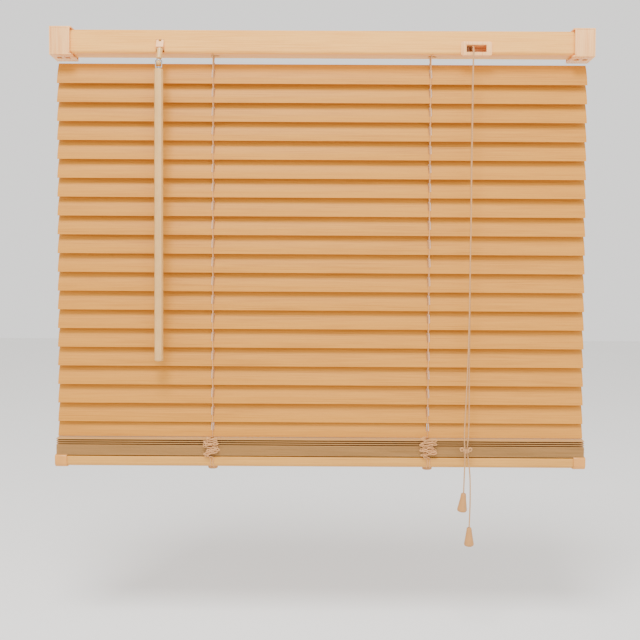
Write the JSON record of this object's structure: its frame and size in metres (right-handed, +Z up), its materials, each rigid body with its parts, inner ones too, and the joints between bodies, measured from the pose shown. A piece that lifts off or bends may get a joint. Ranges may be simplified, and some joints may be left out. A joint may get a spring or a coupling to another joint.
{
  "type": "venetian blind",
  "caption": "Part-raised venetian blind: box brackets and headrail, slats on ladder strings, tilt wand, cord lock, pull cords with tassels, weighted bottom rail.",
  "frame": {"origin": "centre of the four wall screw holes, on the brackets' back plane", "axes": "+X along the slats, -Y towards the room, +Z up"},
  "size_m": [0.6, 0.0446, 0.573],
  "materials": {
    "foil_headrail": "satin",
    "bracket_plastic": "satin",
    "white_nylon": "matte",
    "zinc_steel": "satin",
    "wand_plastic": "satin",
    "brown_roller": "satin",
    "rail_pvc": "satin",
    "tan_plastic": "satin",
    "slat_pvc": "satin",
    "ladder_string": "matte",
    "cord": "matte"
  },
  "bodies": {
    "root": {"headrail": "foil_headrail", "headrail_end_caps": "bracket_plastic", "wall_brackets": "bracket_plastic", "tilter_case": "bracket_plastic", "drum_cradles": "white_nylon", "cord_lock_case": "bracket_plastic", "lift_cord_runs": "cord"},
    "gate_left_body": {"gate_left": "bracket_plastic"},
    "gate_right_body": {"gate_right": "bracket_plastic"},
    "tilt_shaft": {"tilt_rod": "zinc_steel", "tilter_gear": "white_nylon", "ladder_drums": "white_nylon"},
    "worm": {"tilter_worm": "wand_plastic"},
    "hook": {"wand_hook": "zinc_steel"},
    "wand_bar": {"wand": "wand_plastic"},
    "roller": {"cord_lock_roller": "brown_roller"},
    "bottom": {"bottom_rail": "rail_pvc", "bottom_rail_end_caps": "bracket_plastic", "cord_plugs": "tan_plastic", "stacked_slats": "slat_pvc"},
    "pull": {"pull_cord_short": "cord", "pull_cord_long": "cord", "cord_tassels": "tan_plastic"},
    "front_strings": {"ladder_front_strings": "ladder_string"},
    "rear_strings": {"ladder_rear_strings": "ladder_string"},
    "slat_01_body": {"slat_01": "slat_pvc"},
    "slat_02_body": {"slat_02": "slat_pvc"},
    "slat_03_body": {"slat_03": "slat_pvc"},
    "slat_04_body": {"slat_04": "slat_pvc"},
    "slat_05_body": {"slat_05": "slat_pvc"},
    "carrier_05": {"lift_cord_05": "cord"},
    "slat_06_body": {"slat_06": "slat_pvc"},
    "carrier_06": {"lift_cord_06": "cord"},
    "slat_07_body": {"slat_07": "slat_pvc"},
    "carrier_07": {"lift_cord_07": "cord"},
    "slat_08_body": {"slat_08": "slat_pvc"},
    "carrier_08": {"lift_cord_08": "cord"},
    "slat_09_body": {"slat_09": "slat_pvc"},
    "carrier_09": {"lift_cord_09": "cord"},
    "slat_10_body": {"slat_10": "slat_pvc"},
    "carrier_10": {"lift_cord_10": "cord"},
    "slat_11_body": {"slat_11": "slat_pvc"},
    "carrier_11": {"lift_cord_11": "cord"},
    "slat_12_body": {"slat_12": "slat_pvc"},
    "carrier_12": {"lift_cord_12": "cord"},
    "slat_13_body": {"slat_13": "slat_pvc"},
    "carrier_13": {"lift_cord_13": "cord"},
    "slat_14_body": {"slat_14": "slat_pvc"},
    "carrier_14": {"lift_cord_14": "cord"},
    "slat_15_body": {"slat_15": "slat_pvc"},
    "carrier_15": {"lift_cord_15": "cord"},
    "slat_16_body": {"slat_16": "slat_pvc"},
    "carrier_16": {"lift_cord_16": "cord"},
    "slat_17_body": {"slat_17": "slat_pvc"},
    "carrier_17": {"lift_cord_17": "cord"},
    "slat_18_body": {"slat_18": "slat_pvc"},
    "carrier_18": {"lift_cord_18": "cord"},
    "slat_19_body": {"slat_19": "slat_pvc"},
    "carrier_19": {"lift_cord_19": "cord"},
    "slat_20_body": {"slat_20": "slat_pvc"}
  },
  "joints": [
    {"name": "gate_left", "type": "hinge", "parent": "root", "child": "gate_left_body", "pos_m": [-0.288, -0.03125, -0.01475], "axis": [1, 0, 0], "range_deg": [0, 100]},
    {"name": "gate_right", "type": "hinge", "parent": "root", "child": "gate_right_body", "pos_m": [0.288, -0.03125, -0.01475], "axis": [1, 0, 0], "range_deg": [0, 100]},
    {"name": "tilt", "type": "hinge", "parent": "root", "child": "tilt_shaft", "pos_m": [-0.1785, -0.0165, 0], "axis": [-1, 0, 0], "range_deg": [0, 180]},
    {"name": "worm_turn", "type": "hinge", "parent": "root", "child": "worm", "pos_m": [-0.1785, -0.02429, 0.00363], "axis": [0, -0.4226, -0.9063], "range_deg": [-5, 2885]},
    {"name": "wand_swing", "type": "hinge", "parent": "root", "child": "hook", "pos_m": [-0.1785, -0.03799, -0.02573], "axis": [0, 1, 0], "range_deg": [-25, 25]},
    {"name": "wand_turn", "type": "hinge", "parent": "hook", "child": "wand_bar", "pos_m": [-0.1785, -0.03799, -0.02573], "axis": [0, 0, -1], "range_deg": [-5, 2885]},
    {"name": "lift", "type": "slide", "parent": "root", "child": "bottom", "axis": [0, 0, 1], "range_m": [0, 0.2435], "deforming": ["ladder_front_strings", "ladder_rear_strings", "pull_cord_short", "pull_cord_long", "lift_cord_05", "lift_cord_06", "lift_cord_07", "lift_cord_08", "lift_cord_09", "lift_cord_10", "lift_cord_11", "lift_cord_12", "lift_cord_13", "lift_cord_14", "lift_cord_15", "lift_cord_16", "lift_cord_17", "lift_cord_18", "lift_cord_19"]},
    {"name": "pull_down", "type": "slide", "parent": "root", "child": "pull", "axis": [0, 0, -1], "range_m": [0, 0.2435]},
    {"name": "roller_turn", "type": "hinge", "parent": "root", "child": "roller", "pos_m": [0.1621, -0.02, -0.0065], "axis": [0, 0, -1], "range_deg": [0, 3772]},
    {"name": "tilt_01", "type": "hinge", "parent": "root", "child": "slat_01_body", "pos_m": [0, -0.0165, -0.0321], "axis": [-1, 0, 0], "range_deg": [0, 140.01]},
    {"name": "tilt_02", "type": "hinge", "parent": "root", "child": "slat_02_body", "pos_m": [0, -0.0165, -0.0531], "axis": [-1, 0, 0], "range_deg": [0, 140.01]},
    {"name": "tilt_03", "type": "hinge", "parent": "root", "child": "slat_03_body", "pos_m": [0, -0.0165, -0.0741], "axis": [-1, 0, 0], "range_deg": [0, 140.01]},
    {"name": "tilt_04", "type": "hinge", "parent": "root", "child": "slat_04_body", "pos_m": [0, -0.0165, -0.0951], "axis": [-1, 0, 0], "range_deg": [0, 140.01]},
    {"name": "gather_05", "type": "slide", "parent": "root", "child": "carrier_05", "axis": [0, 0, 1], "range_m": [0, 0.0155]},
    {"name": "tilt_05", "type": "hinge", "parent": "carrier_05", "child": "slat_05_body", "pos_m": [0, -0.0165, -0.1161], "axis": [-1, 0, 0], "range_deg": [0, 140.01]},
    {"name": "gather_06", "type": "slide", "parent": "root", "child": "carrier_06", "axis": [0, 0, 1], "range_m": [0, 0.031]},
    {"name": "tilt_06", "type": "hinge", "parent": "carrier_06", "child": "slat_06_body", "pos_m": [0, -0.0165, -0.1371], "axis": [-1, 0, 0], "range_deg": [0, 140.01]},
    {"name": "gather_07", "type": "slide", "parent": "root", "child": "carrier_07", "axis": [0, 0, 1], "range_m": [0, 0.0465]},
    {"name": "tilt_07", "type": "hinge", "parent": "carrier_07", "child": "slat_07_body", "pos_m": [0, -0.0165, -0.1581], "axis": [-1, 0, 0], "range_deg": [0, 140.01]},
    {"name": "gather_08", "type": "slide", "parent": "root", "child": "carrier_08", "axis": [0, 0, 1], "range_m": [0, 0.062]},
    {"name": "tilt_08", "type": "hinge", "parent": "carrier_08", "child": "slat_08_body", "pos_m": [0, -0.0165, -0.1791], "axis": [-1, 0, 0], "range_deg": [0, 140.01]},
    {"name": "gather_09", "type": "slide", "parent": "root", "child": "carrier_09", "axis": [0, 0, 1], "range_m": [0, 0.0775]},
    {"name": "tilt_09", "type": "hinge", "parent": "carrier_09", "child": "slat_09_body", "pos_m": [0, -0.0165, -0.2001], "axis": [-1, 0, 0], "range_deg": [0, 140.01]},
    {"name": "gather_10", "type": "slide", "parent": "root", "child": "carrier_10", "axis": [0, 0, 1], "range_m": [0, 0.093]},
    {"name": "tilt_10", "type": "hinge", "parent": "carrier_10", "child": "slat_10_body", "pos_m": [0, -0.0165, -0.2211], "axis": [-1, 0, 0], "range_deg": [0, 140.01]},
    {"name": "gather_11", "type": "slide", "parent": "root", "child": "carrier_11", "axis": [0, 0, 1], "range_m": [0, 0.1085]},
    {"name": "tilt_11", "type": "hinge", "parent": "carrier_11", "child": "slat_11_body", "pos_m": [0, -0.0165, -0.2421], "axis": [-1, 0, 0], "range_deg": [0, 140.01]},
    {"name": "gather_12", "type": "slide", "parent": "root", "child": "carrier_12", "axis": [0, 0, 1], "range_m": [0, 0.124]},
    {"name": "tilt_12", "type": "hinge", "parent": "carrier_12", "child": "slat_12_body", "pos_m": [0, -0.0165, -0.2631], "axis": [-1, 0, 0], "range_deg": [0, 140.01]},
    {"name": "gather_13", "type": "slide", "parent": "root", "child": "carrier_13", "axis": [0, 0, 1], "range_m": [0, 0.1395]},
    {"name": "tilt_13", "type": "hinge", "parent": "carrier_13", "child": "slat_13_body", "pos_m": [0, -0.0165, -0.2841], "axis": [-1, 0, 0], "range_deg": [0, 140.01]},
    {"name": "gather_14", "type": "slide", "parent": "root", "child": "carrier_14", "axis": [0, 0, 1], "range_m": [0, 0.155]},
    {"name": "tilt_14", "type": "hinge", "parent": "carrier_14", "child": "slat_14_body", "pos_m": [0, -0.0165, -0.3051], "axis": [-1, 0, 0], "range_deg": [0, 140.01]},
    {"name": "gather_15", "type": "slide", "parent": "root", "child": "carrier_15", "axis": [0, 0, 1], "range_m": [0, 0.1705]},
    {"name": "tilt_15", "type": "hinge", "parent": "carrier_15", "child": "slat_15_body", "pos_m": [0, -0.0165, -0.3261], "axis": [-1, 0, 0], "range_deg": [0, 140.01]},
    {"name": "gather_16", "type": "slide", "parent": "root", "child": "carrier_16", "axis": [0, 0, 1], "range_m": [0, 0.186]},
    {"name": "tilt_16", "type": "hinge", "parent": "carrier_16", "child": "slat_16_body", "pos_m": [0, -0.0165, -0.3471], "axis": [-1, 0, 0], "range_deg": [0, 140.01]},
    {"name": "gather_17", "type": "slide", "parent": "root", "child": "carrier_17", "axis": [0, 0, 1], "range_m": [0, 0.2015]},
    {"name": "tilt_17", "type": "hinge", "parent": "carrier_17", "child": "slat_17_body", "pos_m": [0, -0.0165, -0.3681], "axis": [-1, 0, 0], "range_deg": [0, 140.01]},
    {"name": "gather_18", "type": "slide", "parent": "root", "child": "carrier_18", "axis": [0, 0, 1], "range_m": [0, 0.217]},
    {"name": "tilt_18", "type": "hinge", "parent": "carrier_18", "child": "slat_18_body", "pos_m": [0, -0.0165, -0.3891], "axis": [-1, 0, 0], "range_deg": [0, 140.01]},
    {"name": "gather_19", "type": "slide", "parent": "root", "child": "carrier_19", "axis": [0, 0, 1], "range_m": [0, 0.2325]},
    {"name": "tilt_19", "type": "hinge", "parent": "carrier_19", "child": "slat_19_body", "pos_m": [0, -0.0165, -0.4101], "axis": [-1, 0, 0], "range_deg": [0, 140.01]},
    {"name": "tilt_20", "type": "hinge", "parent": "bottom", "child": "slat_20_body", "pos_m": [0, -0.0165, -0.4266], "axis": [-1, 0, 0], "range_deg": [0, 140.01]},
    {"name": "front_strings_level", "type": "hinge", "parent": "slat_01_body", "child": "front_strings", "pos_m": [0, -0.0209, -0.04593], "axis": [1, 0, 0], "range_deg": [0, 140.01]},
    {"name": "rear_strings_level", "type": "hinge", "parent": "slat_01_body", "child": "rear_strings", "pos_m": [0, -0.01098, -0.01868], "axis": [1, 0, 0], "range_deg": [0, 140.01]}
  ],
  "couplings": [
    {"joint": "worm_turn", "follows": "tilt", "ratio": 16},
    {"joint": "wand_turn", "follows": "tilt", "ratio": 16},
    {"joint": "pull_down", "follows": "lift", "ratio": 1},
    {"joint": "roller_turn", "follows": "lift", "rad_per_m": 270.27},
    {"joint": "tilt_01", "follows": "tilt", "ratio": 0.77778},
    {"joint": "tilt_02", "follows": "tilt", "ratio": 0.77778},
    {"joint": "tilt_03", "follows": "tilt", "ratio": 0.77778},
    {"joint": "tilt_04", "follows": "tilt", "ratio": 0.77778},
    {"joint": "gather_05", "follows": "lift", "ratio": 0.063655},
    {"joint": "tilt_05", "follows": "tilt", "ratio": 0.77778},
    {"joint": "gather_06", "follows": "lift", "ratio": 0.12731},
    {"joint": "tilt_06", "follows": "tilt", "ratio": 0.77778},
    {"joint": "gather_07", "follows": "lift", "ratio": 0.19097},
    {"joint": "tilt_07", "follows": "tilt", "ratio": 0.77778},
    {"joint": "gather_08", "follows": "lift", "ratio": 0.25462},
    {"joint": "tilt_08", "follows": "tilt", "ratio": 0.77778},
    {"joint": "gather_09", "follows": "lift", "ratio": 0.31828},
    {"joint": "tilt_09", "follows": "tilt", "ratio": 0.77778},
    {"joint": "gather_10", "follows": "lift", "ratio": 0.38193},
    {"joint": "tilt_10", "follows": "tilt", "ratio": 0.77778},
    {"joint": "gather_11", "follows": "lift", "ratio": 0.44559},
    {"joint": "tilt_11", "follows": "tilt", "ratio": 0.77778},
    {"joint": "gather_12", "follows": "lift", "ratio": 0.50924},
    {"joint": "tilt_12", "follows": "tilt", "ratio": 0.77778},
    {"joint": "gather_13", "follows": "lift", "ratio": 0.5729},
    {"joint": "tilt_13", "follows": "tilt", "ratio": 0.77778},
    {"joint": "gather_14", "follows": "lift", "ratio": 0.63655},
    {"joint": "tilt_14", "follows": "tilt", "ratio": 0.77778},
    {"joint": "gather_15", "follows": "lift", "ratio": 0.70021},
    {"joint": "tilt_15", "follows": "tilt", "ratio": 0.77778},
    {"joint": "gather_16", "follows": "lift", "ratio": 0.76386},
    {"joint": "tilt_16", "follows": "tilt", "ratio": 0.77778},
    {"joint": "gather_17", "follows": "lift", "ratio": 0.82752},
    {"joint": "tilt_17", "follows": "tilt", "ratio": 0.77778},
    {"joint": "gather_18", "follows": "lift", "ratio": 0.89117},
    {"joint": "tilt_18", "follows": "tilt", "ratio": 0.77778},
    {"joint": "gather_19", "follows": "lift", "ratio": 0.95483},
    {"joint": "tilt_19", "follows": "tilt", "ratio": 0.77778},
    {"joint": "tilt_20", "follows": "tilt", "ratio": 0.77778},
    {"joint": "front_strings_level", "follows": "tilt", "ratio": 0.77778},
    {"joint": "rear_strings_level", "follows": "tilt", "ratio": 0.77778}
  ]
}
